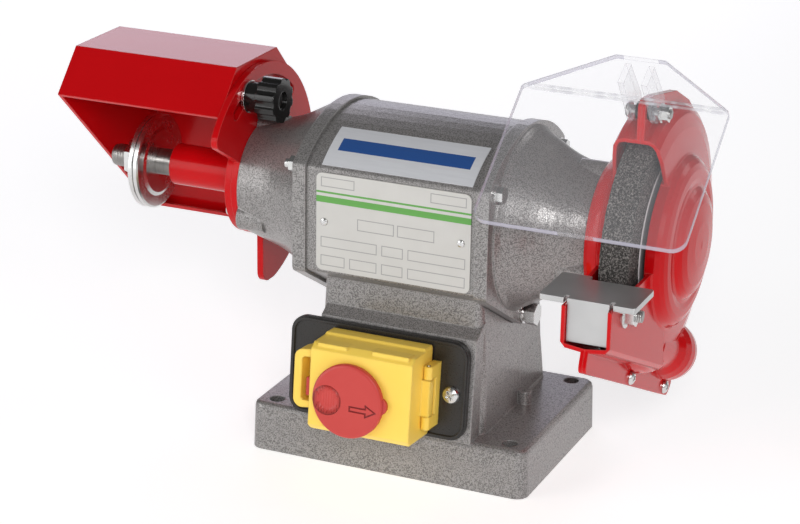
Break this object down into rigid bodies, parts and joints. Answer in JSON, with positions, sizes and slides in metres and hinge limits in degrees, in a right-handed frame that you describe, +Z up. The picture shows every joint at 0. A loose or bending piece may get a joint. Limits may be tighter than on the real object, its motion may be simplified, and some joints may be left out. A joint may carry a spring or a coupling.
{
  "type": "combination bench grinder",
  "caption": "Bench grinder with a guarded grinding wheel at one end of a cast motor and a hooded spindle for a brush at the other, with a lidded switch in its pedestal.",
  "frame": {"origin": "centre of the base underside, between the bench bolt holes", "axes": "+X along the shaft towards the grinding wheel, +Y to the rear, +Z up"},
  "size_m": [0.389, 0.2014, 0.2456],
  "materials": {
    "hammer_paint": "hammer finish",
    "red_paint": "gloss",
    "zinc": "zinc plated",
    "steel": "turned",
    "copper": "varnished",
    "black_plastic": "satin",
    "grey_plastic": "satin",
    "green_plastic": "satin",
    "yellow_plastic": "satin",
    "red_plastic": "satin",
    "clear_plastic": "clear",
    "grit": "coarse",
    "card": "matt",
    "label": "satin",
    "plate": "satin"
  },
  "bodies": {
    "stand": {"housing": "hammer_paint", "bottom_cover": "zinc", "cover_screws": "zinc", "left_end_bell": "hammer_paint", "right_end_bell": "hammer_paint", "tie_rods": "zinc", "tie_nuts": "zinc", "stator_core": "steel", "stator_windings": "copper", "bearing_outer_rings": "steel", "preload_washer": "steel", "capacitor": "grey_plastic", "capacitor_clip": "zinc", "terminal_block": "grey_plastic", "cable_gland": "black_plastic", "rating_plate": "plate", "plate_rivets": "zinc", "label_panel": "label", "switch_plate": "black_plastic", "switch_screws": "zinc", "switch_body": "grey_plastic", "lid_frame": "yellow_plastic", "lid_pin": "zinc", "guard_inner": "red_paint", "guard_outer": "red_paint", "guard_screws": "zinc", "guard_nuts": "zinc", "bell_screws": "zinc", "rest_stud": "zinc", "rest_nut": "zinc", "shield_bolt": "zinc", "shield_nut": "zinc", "shield_spacers": "black_plastic", "hood_bracket": "red_paint", "spindle_tube": "red_paint"},
    "rotor": {"shaft": "steel", "rotor_core": "steel", "bearing_inner_rings": "steel", "wheel": "grit", "wheel_papers": "card", "wheel_flanges": "zinc", "wheel_nut": "zinc", "clamp_discs": "zinc", "spindle_washer": "zinc", "spindle_nut": "zinc"},
    "hood": {"hood": "red_paint", "hood_nut": "zinc", "knob_washer": "zinc"},
    "knob": {"hood_knob": "black_plastic"},
    "shield": {"shield": "clear_plastic"},
    "rest": {"tool_rest": "zinc"},
    "lid": {"switch_lid": "yellow_plastic"},
    "disc": {"stop_disc": "red_plastic"},
    "start": {"start_button": "green_plastic"},
    "stop": {"stop_button": "black_plastic"}
  },
  "joints": [
    {"name": "rotor_spin", "type": "hinge", "parent": "stand", "child": "rotor", "pos_m": [0, 0, 0.138], "axis": [1, 0, 0], "continuous": true},
    {"name": "hood_swing", "type": "hinge", "parent": "stand", "child": "hood", "pos_m": [-0.15, 0, 0.138], "axis": [1, 0, 0], "range_deg": [-58, 15]},
    {"name": "knob_turn", "type": "hinge", "parent": "hood", "child": "knob", "pos_m": [-0.09, -0.01774, 0.18953], "axis": [1, 0, 0], "range_deg": [0, 540]},
    {"name": "shield_tilt", "type": "hinge", "parent": "stand", "child": "shield", "pos_m": [0.1285, -0.0278, 0.2145], "axis": [1, 0, 0], "range_deg": [-50, 8]},
    {"name": "rest_slide", "type": "slide", "parent": "stand", "child": "rest", "axis": [0, 1, 0], "range_m": [-0.0045, 0.0045]},
    {"name": "lid_swing", "type": "hinge", "parent": "stand", "child": "lid", "pos_m": [0.02965, -0.06953, 0.05684], "axis": [0, 0.0958, 0.9954], "range_deg": [0, 100]},
    {"name": "disc_slide", "type": "slide", "parent": "lid", "child": "disc", "axis": [1, 0, 0], "range_m": [0, 0.004], "stiffness_N_per_m": 400},
    {"name": "start_press", "type": "slide", "parent": "stand", "child": "start", "axis": [0, 0.9954, -0.0958], "range_m": [0, 0.003], "stiffness_N_per_m": 600},
    {"name": "stop_press", "type": "slide", "parent": "stand", "child": "stop", "axis": [0, 0.9954, -0.0958], "range_m": [0, 0.003], "stiffness_N_per_m": 600}
  ]
}
